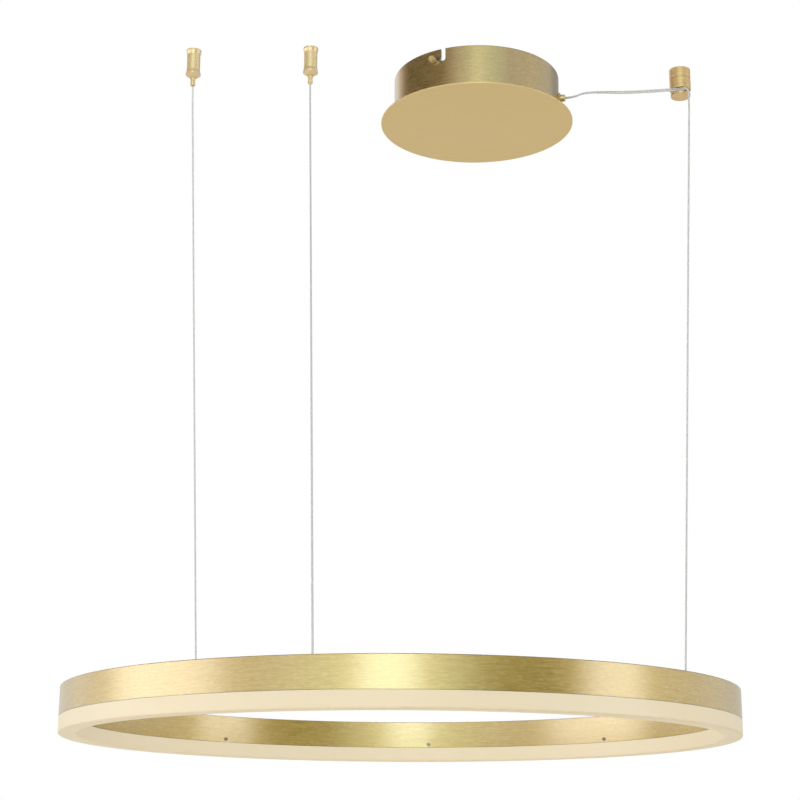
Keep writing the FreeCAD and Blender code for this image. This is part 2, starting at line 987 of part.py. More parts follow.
def driver_screws():
    head_low = floor_top() + driver_tab
    head_high = head_low + driver_screw_head
    screws = []
    for x in driver_screw_places():
        shank = cylinder(driver_screw_radius, -canopy_height, head_low, x, driver_middle_y)
        head = cylinder(driver_screw_head_radius, head_low, head_high, x, driver_middle_y)
        slot = driver_slot(2 * driver_screw_head_radius, x, driver_middle_y, head_high - driver_slot_depth)
        screws.append(shank.fuse(head).cut(slot).removeSplitter())
    return group(screws)


def terminal_block():
    low = floor_top()
    high = low + terminal_height
    body = block(terminal_length, terminal_width, terminal_height, terminal_middle_x, terminal_middle_y, low)
    pitch = terminal_length / terminal_poles
    for k in range(terminal_poles):
        x = terminal_middle_x + (k - (terminal_poles - 1) / 2) * pitch
        hole = cylinder(
            terminal_hole_radius, high - terminal_hole_depth, high + overshoot, x, terminal_middle_y
        )
        body = body.cut(hole)
    return body


def mains_leads():
    # Two leads from the end of the terminal block round to the end of the driver.
    height = floor_top() + mains_lead_height
    start_x = terminal_middle_x - terminal_length / 2
    end_x = driver_middle_x - driver_length / 2
    leads = []
    for side in (-1, 1):
        offset = side * mains_lead_spacing / 2
        turn_x = end_x - mains_lead_reach + offset
        start_y = terminal_middle_y + offset
        end_y = driver_middle_y - mains_lead_inset - offset
        route = [
            (start_x, start_y, height),
            (turn_x, start_y, height),
            (turn_x, end_y, height),
            (end_x, end_y, height),
        ]
        leads.append(tube(route, mains_lead_radius, {1: mains_lead_bend, 2: mains_lead_bend}))
    return group(leads)


# The gland is built along its own axis, at distances from the canopy's axis, then laid into the wall.


def on_wall(shape):
    return turned(moved(laid_along_x(shape), 0, 0, -gland_drop), gland_angle)


def gland_point(distance):
    a = math.radians(gland_angle)
    return distance * math.cos(a), distance * math.sin(a), -gland_drop


def flange_start():
    return canopy_radius + slip_gap


def flange_end():
    return flange_start() + gland_flange


def stub_end():
    return flange_end() + gland_stub


def gland_cap_end():
    return flange_end() + seam_gap + gland_cap_length


def locknut_high():
    # The nut's flat face meets the round wall at its corners.
    corner = gland_nut_across / math.sqrt(3)
    return math.sqrt(canopy_inner() ** 2 - corner ** 2) - running_gap


def gland_inner_end():
    return locknut_high() - gland_nut_height - gland_thread_past_nut


def gland_body():
    thread = cylinder(gland_thread_radius, gland_inner_end(), flange_start())
    flange = moved(hexagon(gland_flange_across, gland_flange), 0, 0, flange_start())
    stub = cylinder(gland_stub_radius, flange_end(), stub_end())
    inside = bore(cable_radius + slip_gap, gland_inner_end(), stub_end())
    return on_wall(thread.fuse(flange).fuse(stub).removeSplitter().cut(inside))


def gland_locknut():
    low = locknut_high() - gland_nut_height
    nut = moved(hexagon(gland_nut_across, gland_nut_height), 0, 0, low)
    return on_wall(nut.cut(bore(gland_thread_radius + running_gap, low, locknut_high())))


def gland_cap():
    # The clamping nut on the gland's stub.
    start = flange_end() + seam_gap
    end = gland_cap_end()
    body = round_at_height(cylinder(gland_cap_radius, start, end), end, gland_cap_edge)
    seat = cylinder(gland_stub_radius + running_gap, start - overshoot, stub_end() + slip_gap)
    inside = bore(cable_radius + slip_gap, start, end)
    return on_wall(body.cut(seat).cut(inside))


def output_lead():
    # From the end of the driver through the gland, to the outer face of the gland's cap.
    start_x = driver_middle_x + driver_length / 2
    start_y = driver_middle_y - driver_outlet_inset
    start_z = floor_top() + driver_outlet_height
    route = [
        (start_x, start_y, start_z),
        (start_x + driver_outlet_run, start_y, start_z),
        gland_point(gland_inner_end() - gland_approach),
        gland_point(gland_cap_end()),
    ]
    return tube(route, cable_radius, None, "output_lead")


def power_cable_lead():
    # Goes on from the output lead, outside the gland.
    start = gland_point(gland_cap_end() + clear_gap)
    return tube([start, *lead_route], cable_radius, None, "power_cable_lead")


def power_cable_drop():
    landing = line_point(cable_angle, ring_top() + cable_bend_above_ring)
    end = line_point(cable_angle, clamp_top() - cable_end_depth + clear_gap)
    return tube([*drop_route, landing, end], cable_radius, None, "power_cable_drop")


def gripper_parts(name, x, y, place, angle):
    return {
        f"{name}_gripper_base": place(gripper_base()),
        f"{name}_gripper_sleeve": place(gripper_sleeve()),
        f"{name}_gripper_plunger": place(gripper_plunger()),
        f"{name}_gripper_balls": place(gripper_balls()),
        f"{name}_gripper_spring": place(gripper_spring()),
        f"{name}_wire": suspension_wire(x, y, angle, f"{name}_wire"),
        f"{name}_wire_eyelet": wire_eyelet(angle),
        f"{name}_wire_ferrule": wire_ferrule(angle),
    }


def ring_parts():
    return {
        "ring_hoop": ring_hoop(),
        "diffuser": diffuser(),
        "led_strip": led_strip(),
        "led_packages": led_packages(),
        "diffuser_screws": diffuser_screws(),
        "cable_grommet": cable_grommet(),
        "cable_clamp": cable_clamp(),
        "feed_terminal": feed_terminal(),
        "cable_cores": cable_cores(),
        "strip_leads": strip_leads(),
    }


def holder_parts():
    return {
        "holder_base": at_holder(holder_base()),
        "holder_barrel": at_holder(holder_barrel()),
        "holder_cap": at_holder(holder_cap()),
        "power_cable_lead": power_cable_lead(),
        "power_cable_drop": power_cable_drop(),
    }


def canopy_parts():
    return {
        "ceiling_bracket": ceiling_bracket(),
        "front_lock_screw": lock_screw(lock_screw_angles[0]),
        "rear_lock_screw": lock_screw(lock_screw_angles[1]),
        "earth_screw": earth_screw(),
        "canopy_can": canopy_can(),
        "canopy_disc": canopy_disc(),
        "disc_nuts": disc_nuts(),
        "driver_case": driver_case(),
        "driver_lid": driver_lid(),
        "driver_board": driver_board(),
        "driver_components": driver_components(),
        "driver_screws": driver_screws(),
        "terminal_block": terminal_block(),
        "mains_leads": mains_leads(),
        "output_lead": output_lead(),
        "gland_body": gland_body(),
        "gland_locknut": gland_locknut(),
        "gland_cap": gland_cap(),
    }


def main():
    os.makedirs("parts", exist_ok=True)
    shapes = {
        **ring_parts(),
        **gripper_parts("left", left_gripper_x, left_gripper_y, left_gripper, left_angle),
        **gripper_parts("middle", middle_gripper_x, middle_gripper_y, middle_gripper, middle_angle),
        **holder_parts(),
        **canopy_parts(),
    }
    for name, shape in shapes.items():
        shape.exportStep(f"parts/{name}.step")
        print(f"{name}: {len(shape.Solids)} solids, {shape.Volume / 1000:.3f} cm3, valid {shape.isValid()}")


main()
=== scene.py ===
import math

import bpy
from mathutils import Matrix, Vector


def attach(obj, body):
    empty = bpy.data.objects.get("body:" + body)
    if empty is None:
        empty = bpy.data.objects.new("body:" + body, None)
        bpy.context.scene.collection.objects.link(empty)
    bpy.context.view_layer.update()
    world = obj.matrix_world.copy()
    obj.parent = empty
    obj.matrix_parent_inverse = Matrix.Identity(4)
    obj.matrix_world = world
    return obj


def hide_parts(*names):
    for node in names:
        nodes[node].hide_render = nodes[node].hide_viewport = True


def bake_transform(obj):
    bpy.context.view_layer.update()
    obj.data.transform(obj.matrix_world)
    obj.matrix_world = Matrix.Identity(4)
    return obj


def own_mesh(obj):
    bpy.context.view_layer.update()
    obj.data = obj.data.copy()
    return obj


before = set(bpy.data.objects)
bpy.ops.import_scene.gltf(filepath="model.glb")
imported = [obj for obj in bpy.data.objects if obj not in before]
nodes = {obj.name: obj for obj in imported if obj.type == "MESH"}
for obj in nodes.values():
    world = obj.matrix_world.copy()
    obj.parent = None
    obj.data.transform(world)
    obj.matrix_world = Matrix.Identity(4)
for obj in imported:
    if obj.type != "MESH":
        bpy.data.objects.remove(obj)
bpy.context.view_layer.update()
print("frame:", len(nodes), "nodes")


def paint(red, green, blue):
    # a colour as a screen shows it, 0 to 255, in linear numbers
    def linear(value):
        value = value / 255
        return value / 12.92 if value <= 0.04045 else ((value + 0.055) / 1.055) ** 2.4

    return linear(red), linear(green), linear(blue), 1.0


# One socket of a node tree that Python's own operators work on.
class Link:
    def __init__(self, bench, socket):
        self.bench = bench
        self.socket = socket

    def maths(self, operation, other=0.0, swapped=False):
        values = {0: other, 1: self} if swapped else {0: self, 1: other}
        return self.bench.add("ShaderNodeMath", {"operation": operation}, values)

    def out(self, name):
        return Link(self.bench, self.socket.node.outputs[name])

    def __add__(self, other):
        return self.maths("ADD", other)

    def __radd__(self, other):
        return self.maths("ADD", other, swapped=True)

    def __sub__(self, other):
        return self.maths("SUBTRACT", other)

    def __rsub__(self, other):
        return self.maths("SUBTRACT", other, swapped=True)

    def __mul__(self, other):
        return self.maths("MULTIPLY", other)

    def __rmul__(self, other):
        return self.maths("MULTIPLY", other, swapped=True)

    def __truediv__(self, other):
        return self.maths("DIVIDE", other)

    def __rtruediv__(self, other):
        return self.maths("DIVIDE", other, swapped=True)


# A node tree and the one way to add a node to it.
class Bench:
    def __init__(self, tree):
        self.tree = tree

    def add(self, kind, settings=None, values=None, output=0):
        node = self.tree.nodes.new(kind)
        for name, setting in (settings or {}).items():
            setattr(node, name, setting)
        for place, value in (values or {}).items():
            if isinstance(value, Link):
                self.tree.links.new(value.socket, node.inputs[place])
            else:
                node.inputs[place].default_value = value
        return Link(self, node.outputs[output]) if node.outputs else None

    def mix(self, share, first, second):
        # a Mix node's inputs 6 and 7 and its output 2 are the ones for colours
        values = {0: share, 6: first, 7: second}
        return self.add("ShaderNodeMix", {"data_type": "RGBA"}, values, output=2)

    def smooth(self, value, low, high):
        settings = {"interpolation_type": "SMOOTHSTEP"}
        return self.add("ShaderNodeMapRange", settings, {0: value, 1: low, 2: high})

    def noise(self, point, scale=1.0, detail=2.0, roughness=0.5):
        values = {"Vector": point, "Scale": scale, "Detail": detail, "Roughness": roughness}
        return self.add("ShaderNodeTexNoise", None, values)

    def vector(self, x, y, z):
        return self.add("ShaderNodeCombineXYZ", None, {0: x, 1: y, 2: z})

    def split(self, vector):
        parts = self.add("ShaderNodeSeparateXYZ", None, {0: vector})
        return parts, parts.out("Y"), parts.out("Z")

    def objectPoint(self):
        return self.add("ShaderNodeTexCoord", output="Object")

    def bump(self, height, look):
        values = {"Height": height, "Strength": look["bump"], "Distance": look["bumpDepth"]}
        return self.add("ShaderNodeBump", None, values)


# How each kind of surface is made.


def newBench(name):
    material = bpy.data.materials.new(name)
    material.use_nodes = True
    material.node_tree.nodes.clear()
    return material, Bench(material.node_tree)


def finish(bench, values):
    shader = bench.add("ShaderNodeBsdfPrincipled", None, values)
    bench.add("ShaderNodeOutputMaterial", None, {"Surface": shader})


def grainPoint(bench, look, long, fine):
    # Object coordinates rolled out along the brush's path: long along it, fine across it.
    x, y, z = bench.split(bench.objectPoint())
    if look["brushed"] == "straight":
        return bench.vector(x / long, y / fine, z / fine)
    ahead = x - look["middle"][0]
    aside = y - look["middle"][1]
    reach = (ahead * ahead + aside * aside).maths("SQRT")
    turn = look["radius"] / long
    return bench.vector(ahead / reach * turn, aside / reach * turn, (z + reach) / fine)


def brushedGold(name, look):
    material, bench = newBench(name)
    point = bench.objectPoint()
    along = grainPoint(bench, look, look["strokeLength"], look["strokeWidth"])
    strokes = bench.noise(along, detail=3.0, roughness=look["strokeBreak"])
    marks = bench.smooth(strokes, *look["strokeMask"])
    clouds = bench.smooth(bench.noise(point, look["cloudScale"]), *look["cloudMask"])
    along = grainPoint(bench, look, look["gritLength"], look["gritWidth"])
    grit = bench.noise(along, detail=3.0, roughness=look["gritBreak"])
    gold = bench.mix(marks, look["dark"], look["light"])
    gold = bench.mix(clouds * look["clouds"], gold, look["tint"])
    gold = bench.mix(bench.smooth(grit, *look["gritMask"]) * look["grit"], gold, look["glint"])
    # Painted shade: thin darker lines at the listed heights, in the seam between parts and along
    # edges.
    if look["lines"]:
        height = bench.split(point)[2]
        line = 0.0
        for place, width in look["lines"]:
            away = (height - place).maths("ABSOLUTE")
            line = line + (1 - bench.smooth(away, 0.0, width))
        gold = bench.mix(line * look["edgeShadeShare"], gold, look["edgeShadeTone"])
    relief = strokes + grit * look["gritRelief"]
    finish(
        bench,
        {
            "Base Color": gold,
            "Metallic": 1.0,
            "Roughness": look["roughness"] + marks * look["roughnessSpread"],
            "Anisotropic": look["anisotropic"],
            "Anisotropic Rotation": look["anisotropicTurn"],
            "Coat Weight": look["lacquer"],
            "Coat Roughness": look["lacquerRoughness"],
            "Coat IOR": look["lacquerIndex"],
            "Normal": bench.bump(relief, look),
        },
    )
    return material


def turnedMetal(name, look):
    # Fine lathe lines across the height, with a little wear.
    material, bench = newBench(name)
    point = bench.objectPoint()
    x, y, z = bench.split(point)
    around = look["lineSpread"]
    turned = bench.vector(x * around, y * around, z / look["lineWidth"])
    lines = bench.noise(turned, roughness=look["lineBreak"])
    marks = bench.smooth(lines, *look["lineMask"])
    wear = bench.smooth(bench.noise(point, look["wearScale"], detail=3.0), *look["wearMask"])
    tone = bench.mix(marks, look["dark"], look["light"])
    finish(
        bench,
        {
            "Base Color": bench.mix(wear * look["wear"], tone, look["worn"]),
            "Metallic": look["metal"],
            "Roughness": look["roughness"] + marks * look["roughnessSpread"],
            "Coat Weight": look["lacquer"],
            "Coat Roughness": look["lacquerRoughness"],
            "Coat IOR": look["lacquerIndex"],
            "Normal": bench.bump(lines, look),
        },
    )
    return material


def mouldedPlastic(name, look):
    # Moulded plastic or plain paint: a fine grain, and clouds of two near tones.
    material, bench = newBench(name)
    point = bench.objectPoint()
    grain = bench.noise(point, look["grainScale"])
    clouds = bench.smooth(bench.noise(point, look["cloudScale"]), *look["cloudMask"])
    finish(
        bench,
        {
            "Base Color": bench.mix(clouds, look["light"], look["dark"]),
            "Roughness": look["roughness"] + grain * look["roughnessSpread"],
            "Normal": bench.bump(grain, look),
        },
    )
    return material


def opalAcrylic(name, look):
    # Cream acrylic: a satin skin, a hint of light inside it, faint mould lines along the ring,
    # and a darker, warmer underside that is painted shade.
    material, bench = newBench(name)
    point = bench.objectPoint()
    height = bench.split(point)[2]
    ripple = bench.noise(grainPoint(bench, look, look["rippleLength"], look["rippleWidth"]))
    clouds = bench.smooth(bench.noise(point, look["cloudScale"]), *look["cloudMask"])
    # painted shade: below the listed height the underside gets a darker, warmer cream
    under = 1 - bench.smooth(height, look["underLow"], look["underHigh"])
    cream = bench.mix(under, look["side"], look["under"])
    finish(
        bench,
        {
            "Base Color": bench.mix(clouds * look["clouds"], cream, look["warm"]),
            "Roughness": look["roughness"] + ripple * look["roughnessSpread"],
            "Subsurface Weight": look["inside"],
            "Subsurface Radius": look["insideReach"],
            "Subsurface Scale": look["insideScale"],
            "Normal": bench.bump(ripple, look),
        },
    )
    return material


def clearJacket(name, look):
    # Clear soft plastic, a little hazy in places.
    material, bench = newBench(name)
    haze = bench.noise(bench.objectPoint(), look["hazeScale"])
    finish(
        bench,
        {
            "Base Color": bench.mix(haze, look["light"], look["dark"]),
            "Roughness": look["roughness"] + haze * look["roughnessSpread"],
            "Alpha": look["alpha"] + haze * look["alphaSpread"],
        },
    )
    return material


ring = {"middle": (-0.0745, -0.055), "radius": 0.3, "seam": -0.652, "top": -0.626}

goldLook = {
    "brushed": "round",
    "middle": ring["middle"],
    "radius": ring["radius"],
    "strokeLength": 0.018,
    "strokeWidth": 0.0008,
    "strokeBreak": 0.62,
    "strokeMask": (0.34, 0.68),
    "light": paint(207, 181, 97),
    "dark": paint(177, 150, 61),
    "tint": paint(196, 168, 80),
    "glint": paint(224, 204, 136),
    "clouds": 0.5,
    "cloudScale": 14.0,
    "cloudMask": (0.3, 0.7),
    "grit": 0.5,
    "gritLength": 0.0045,
    "gritWidth": 0.0007,
    "gritBreak": 0.6,
    "gritMask": (0.46, 0.72),
    "gritRelief": 0.4,
    # painted shade: darker lines in the seam above the diffuser and along the hoop's top edge
    "lines": ((ring["seam"], 0.0009), (ring["top"], 0.0009)),
    "edgeShadeShare": 0.45,
    "edgeShadeTone": paint(140, 116, 62),
    "roughness": 0.44,
    "roughnessSpread": 0.08,
    "anisotropic": 0.5,
    "anisotropicTurn": 0.25,
    "lacquer": 1.0,
    "lacquerRoughness": 0.2,
    "lacquerIndex": 2.05,
    "bump": 0.12,
    "bumpDepth": 0.0002,
}

canopyLook = {
    **goldLook,
    "middle": (0.0, 0.0),
    "radius": 0.0835,
    "strokeLength": 0.014,
    "strokeWidth": 0.0005,
    "light": paint(184, 160, 100),
    "dark": paint(167, 143, 81),
    "tint": paint(176, 152, 92),
    "glint": paint(210, 194, 144),
    "grit": 0.4,
    "gritLength": 0.0032,
    "gritWidth": 0.0006,
    # painted shade: a darker line along the top rim of the can
    "lines": ((-0.0006, 0.0012),),
    "edgeShadeTone": paint(110, 90, 58),
    "roughness": 0.26,
    "anisotropic": 0.2,
    "bump": 0.06,
}

discLook = {
    **goldLook,
    "brushed": "straight",
    "strokeLength": 0.02,
    "strokeWidth": 0.0012,
    "light": paint(228, 205, 148),
    "dark": paint(224, 200, 143),
    "tint": paint(226, 202, 152),
    "glint": paint(232, 210, 156),
    "grit": 0.2,
    "clouds": 0.3,
    "lines": (),
    "roughness": 0.55,
    "roughnessSpread": 0.03,
    "anisotropic": 0.0,
    "lacquer": 0.2,
    "bump": 0.04,
}

brassLook = {
    "light": paint(230, 208, 158),
    "dark": paint(222, 199, 148),
    "worn": paint(236, 218, 174),
    "wear": 0.3,
    "wearScale": 260.0,
    "wearMask": (0.55, 0.75),
    "lineWidth": 0.0006,
    "lineSpread": 40.0,
    "lineBreak": 0.6,
    "lineMask": (0.35, 0.68),
    "metal": 0.8,
    "roughness": 0.42,
    "roughnessSpread": 0.08,
    "lacquer": 0.8,
    "lacquerRoughness": 0.42,
    "lacquerIndex": 2.0,
    "bump": 0.02,
    "bumpDepth": 0.0001,
}

steelLook = {
    **brassLook,
    "light": paint(206, 206, 206),
    "dark": paint(168, 168, 170),
    "worn": paint(226, 226, 224),
    "metal": 1.0,
    "roughness": 0.4,
    "lacquer": 0.0,
    "bump": 0.05,
}

plasticLook = {
    "light": paint(236, 236, 234),
    "dark": paint(224, 224, 222),
    "grainScale": 900.0,
    "cloudScale": 30.0,
    "cloudMask": (0.3, 0.7),
    "roughness": 0.42,
    "roughnessSpread": 0.12,
    "bump": 0.25,
    "bumpDepth": 0.0002,
}

opalLook = {
    "brushed": "round",
    "middle": ring["middle"],
    "radius": ring["radius"],
    "rippleLength": 0.05,
    "rippleWidth": 0.0015,
    "side": paint(238, 227, 200),
    # painted shade on the diffuser's underside
    "under": paint(234, 219, 184),
    "warm": paint(236, 220, 184),
    "clouds": 0.35,
    "cloudScale": 9.0,
    "cloudMask": (0.3, 0.7),
    "underLow": -0.6658,
    "underHigh": -0.6635,
    "inside": 0.25,
    "insideReach": (0.004, 0.003, 0.002),
    "insideScale": 0.4,
    "roughness": 0.36,
    "roughnessSpread": 0.1,
    "bump": 0.1,
    "bumpDepth": 0.0001,
}

jacketLook = {
    "light": paint(236, 237, 238),
    "dark": paint(214, 216, 218),
    "hazeScale": 160.0,
    "roughness": 0.2,
    "roughnessSpread": 0.1,
    "alpha": 0.38,
    "alphaSpread": 0.1,
}


def tinted(look, light, dark, **changes):
    return {**look, "light": paint(*light), "dark": paint(*dark), **changes}


def brass(light, dark, **changes):
    return turnedMetal, tinted(brassLook, light, dark, **changes)


def steel(light, dark, **changes):
    return turnedMetal, tinted(steelLook, light, dark, **changes)


def plastic(light, dark, **changes):
    return mouldedPlastic, tinted(plasticLook, light, dark, **changes)


# The finish of each material slot of the solids. Two colours are the light and the dark tone.
finishes = {
    "gold_hoop": (brushedGold, goldLook),
    "canopy_gold": (brushedGold, canopyLook),
    "disc_gold": (brushedGold, discLook),
    "opal_diffuser": (opalAcrylic, opalLook),
    "clear_cable": (clearJacket, jacketLook),
    "gripper_brass": (turnedMetal, brassLook),
    "holder_brass": brass((220, 188, 122), (200, 167, 104), lineWidth=0.0007),
    "screw_brass": brass((222, 203, 144), (208, 188, 126), roughness=0.35),
    "eyelet_brass": (turnedMetal, brassLook),
    "dark_screws": brass((140, 120, 84), (112, 94, 64)),
    "zinc_steel": steel((222, 223, 224), (208, 209, 212), roughness=0.45),
    "ferrule_steel": (turnedMetal, steelLook),
    "spring_steel": (turnedMetal, steelLook),
    "steel_ball": steel((214, 214, 214), (204, 204, 204)),
    "steel_wire": steel((224, 225, 226), (214, 215, 217), bump=0.0, metal=0.3),
    "driver_shell": (mouldedPlastic, plasticLook),
    "terminal_white": plastic((238, 238, 232), (228, 228, 220)),
    "white_nylon": (mouldedPlastic, plasticLook),
    "strip_board": plastic((236, 236, 230), (226, 226, 218)),
    "led_phosphor": plastic((240, 214, 110), (230, 200, 90), roughness=0.2),
    "grommet_clear": plastic((232, 232, 228), (220, 220, 214), roughness=0.3),
    "core_insulation": plastic((206, 206, 206), (196, 196, 198)),
    "mains_insulation": plastic((108, 76, 50), (90, 62, 40), roughness=0.35),
    "blue_insulation": plastic((62, 104, 168), (52, 90, 150), roughness=0.35),
    "board_green": plastic((34, 96, 52), (26, 80, 42), roughness=0.3),
    "component_black": plastic((38, 38, 40), (28, 28, 30)),
}

materials = {}
for slotName, (recipe, look) in finishes.items():
    materials[slotName] = recipe(slotName + "_finish", look)
for node in nodes.values():
    for place, old in enumerate(node.data.materials):
        node.data.materials[place] = materials[old.name]
print("materials:", len(materials))


# Node trees that make what follows a path or repeats. Each size is an input of its tree.


def newTree(name, sizes):
    # An empty tree, the mesh that it gets, and its sizes by name.
    kinds = {float: "NodeSocketFloat", int: "NodeSocketInt"}
    tree = bpy.data.node_groups.new(name, "GeometryNodeTree")
    tree.interface.new_socket("Geometry", in_out="INPUT", socket_type="NodeSocketGeometry")
    for label, value in sizes.items():
        kind = kinds.get(type(value), "NodeSocketMaterial")
        tree.interface.new_socket(label, in_out="INPUT", socket_type=kind)
    tree.interface.new_socket("Geometry", in_out="OUTPUT", socket_type="NodeSocketGeometry")
    bench = Bench(tree)
    entry = bench.add("NodeGroupInput")
    return bench, entry, {label: entry.out(label) for label in sizes}


def coated(bench, geometry, material):
    whole = bench.add("GeometryNodeRealizeInstances", None, {"Geometry": geometry})
    return bench.add("GeometryNodeSetMaterial", None, {"Geometry": whole, "Material": material})


def endTree(bench, geometry, material):
    bench.add("NodeGroupOutput", None, {0: coated(bench, geometry, material)})
    return bench.tree


def grow(name, mesh, tree, sizes):
    # Runs the tree on the mesh and keeps its result as a plain mesh.
    seed = bpy.data.objects.new(name + "_path", mesh)
    bpy.context.scene.collection.objects.link(seed)
    modifier = seed.modifiers.new("grow", "NODES")
    modifier.node_group = tree
    for item in tree.interface.items_tree:
        if item.in_out == "INPUT" and item.name in sizes:
            modifier[item.identifier] = sizes[item.name]
    depsgraph = bpy.context.evaluated_depsgraph_get()
    made = bpy.data.meshes.new_from_object(seed.evaluated_get(depsgraph))
    bpy.data.objects.remove(seed)
    piece = bpy.data.objects.new(name, made)
    bpy.context.scene.collection.objects.link(piece)
    print(name + ":", len(made.polygons), "faces")
    return piece


def resampled(bench, mesh, step):
    curve = bench.add("GeometryNodeMeshToCurve", None, {"Mesh": mesh})
    values = {"Curve": curve, "Length": step}
    return bench.add("GeometryNodeResampleCurve", {"mode": "LENGTH"}, values)


def roundProfile(bench, steps, radius):
    values = {"Resolution": steps, "Radius": radius}
    return bench.add("GeometryNodeCurvePrimitiveCircle", None, values)


def shapedProfile(bench, steps, findReach):
    # A closed outline. findReach says how far it lies from its middle at each angle.
    angle = bench.add("GeometryNodeInputIndex") * math.tau / steps
    reach = findReach(angle)
    place = bench.vector(reach * angle.maths("COSINE"), reach * angle.maths("SINE"), 0.0)
    values = {"Geometry": roundProfile(bench, steps, 1.0), "Position": place}
    return bench.add("GeometryNodeSetPosition", None, values)


def swept(bench, path, profile):
    values = {"Curve": path, "Profile Curve": profile, "Fill Caps": True}
    made = bench.add("GeometryNodeCurveToMesh", None, values)
    return bench.add("GeometryNodeSetShadeSmooth", None, {"Geometry": made})


def twisted(bench, path, radius, strands, lay, steps):
    # A bundle of round strands about a middle one, swept along the path. They go round once in
    # each lay.
    share = math.tau / strands
    half = (math.pi / strands).maths("SINE")
    strand = radius * half / (1 + half)
    middle = radius - strand

    def findReach(angle):
        off = angle.maths("MODULO", share) - share / 2
        aside = middle * off.maths("SINE")
        rise = strand * strand - aside * aside
        return middle * off.maths("COSINE") + rise.maths("MAXIMUM", 0.0).maths("SQRT")

    along = bench.add("GeometryNodeSplineParameter", output="Length")
    values = {"Curve": path, "Tilt": along / lay * math.tau}
    path = bench.add("GeometryNodeSetCurveTilt", None, values)
    return swept(bench, path, shapedProfile(bench, steps, findReach))


# The smooth lines that wires, cables and leads follow.

lineFit = {"order": 3, "resolution": 32}


def splinePath(name, route):
    # A mesh of points and edges along the NURBS spline over the route, and its points.
    curve = bpy.data.curves.new(name, "CURVE")
    curve.dimensions = "3D"
    curve.resolution_u = lineFit["resolution"]
    spline = curve.splines.new("NURBS")
    spline.points.add(len(route) - 1)
    for corner, point in zip(spline.points, route):
        corner.co = (*point, 1.0)
    spline.order_u = lineFit["order"]
    spline.use_endpoint_u = True
    shown = bpy.data.objects.new(name, curve)
    bpy.context.scene.collection.objects.link(shown)
    depsgraph = bpy.context.evaluated_depsgraph_get()
    followed = bpy.data.meshes.new_from_object(shown.evaluated_get(depsgraph))
    bpy.data.objects.remove(shown)
    return followed, [corner.co.copy() for corner in followed.vertices]


def pathLength(points):
    return sum((b - a).length for a, b in zip(points, points[1:]))


def shareKept(span, travel):
    # What is left of a length when the joint has taken its whole travel from it.
    return (span - travel) / span


# the two suspension wires

wireSizes = {
    "Radius": 0.0009,
    "Strands": 12,
    "Steps": 48,
    "Lay": 0.018,
    "Step": 0.0012,
    "Steel": materials["steel_wire"],
}
wires = {
    "left": {
        "route": (
            (-0.2807, -0.0673, -0.0170),
            (-0.2807, -0.0673, -0.0430),
            (-0.28071, -0.05808, -0.06731),
            (-0.28097, 0.14684, -0.60775),
            (-0.28098, 0.15148, -0.6200),
            (-0.28098, 0.15148, -0.6331),
        ),
        "length": 0.656,
    },
    "middle": {
        "route": (
            (-0.1654, -0.0733, -0.0170),
            (-0.1654, -0.0733, -0.0430),
            (-0.16435, -0.08419, -0.06659),
            (-0.14022, -0.33414, -0.60812),
            (-0.13969, -0.33963, -0.6200),
            (-0.13969, -0.33963, -0.6331),
        ),
        "length": 0.6748,
    },
}
outletAbove = 0.0054  # from the wire's second corner up to the gripper's outlet
ringTravel = 0.2


def wireTree(sizes):
    bench, mesh, size = newTree("twistedWire", sizes)
    path = resampled(bench, mesh, size["Step"])
    rope = twisted(bench, path, size["Radius"], size["Strands"], size["Lay"], size["Steps"])
    return endTree(bench, rope, size["Steel"])


twistedWire = wireTree(wireSizes)
for side, wire in wires.items():
    followed, points = splinePath(side + "WireLine", wire["route"])
    rope = grow(side + "_suspension_wire", followed, twistedWire, wireSizes)
    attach(rope, "ceiling_fixings")
    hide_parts(side + "_wire")
    outlet = (*wire["route"][1][:2], wire["route"][1][2] + outletAbove)
    keep = shareKept(outlet[2] - ring["top"], ringTravel)
    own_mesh(rope)
    wireSizes["Radius"] * 2
    print(side, "wire:", round(pathLength(points), 4), "m")

# the coil springs in the grippers

springSizes = {
    "Coil Radius": 0.00405,
    "Wire Radius": 0.00025,
    "Turns": 4.0,
    "Height": 0.006,
    "Coil Steps": 40,
    "Wire Steps": 12,
    "Steel": materials["spring_steel"],
}
springPlace = {"low": -0.01425, "seat": -0.008, "travel": 0.0025}


def springTree(sizes):
    # One open coil on each point of the mesh.
    bench, mesh, size = newTree("openCoil", sizes)
    values = {
        "Resolution": size["Coil Steps"],
        "Rotations": size["Turns"],
        "Height": size["Height"],
        "Start Radius": size["Coil Radius"],
        "End Radius": size["Coil Radius"],
    }
    line = bench.add("GeometryNodeCurveSpiral", None, values)
    coil = swept(bench, line, roundProfile(bench, size["Wire Steps"], size["Wire Radius"]))
    values = {"Points": mesh, "Instance": coil}
    coils = bench.add("GeometryNodeInstanceOnPoints", None, values)
    return endTree(bench, coils, size["Steel"])


openCoil = springTree(springSizes)
for side, wire in wires.items():
    x, y = wire["route"][0][:2]
    foot = bpy.data.meshes.new(side + "SpringFoot")
    foot.from_pydata([(x, y, springPlace["low"])], [], [])
    spring = grow(side + "_coil_spring", foot, openCoil, springSizes)
    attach(spring, "ceiling_fixings")
    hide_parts(side + "_gripper_spring")
    span = springPlace["seat"] - springPlace["low"] + springSizes["Wire Radius"]
    keep = shareKept(span, springPlace["travel"])
    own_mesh(spring)

# the twin cable: from the gland to its holder, down to the ring, and inside the canopy

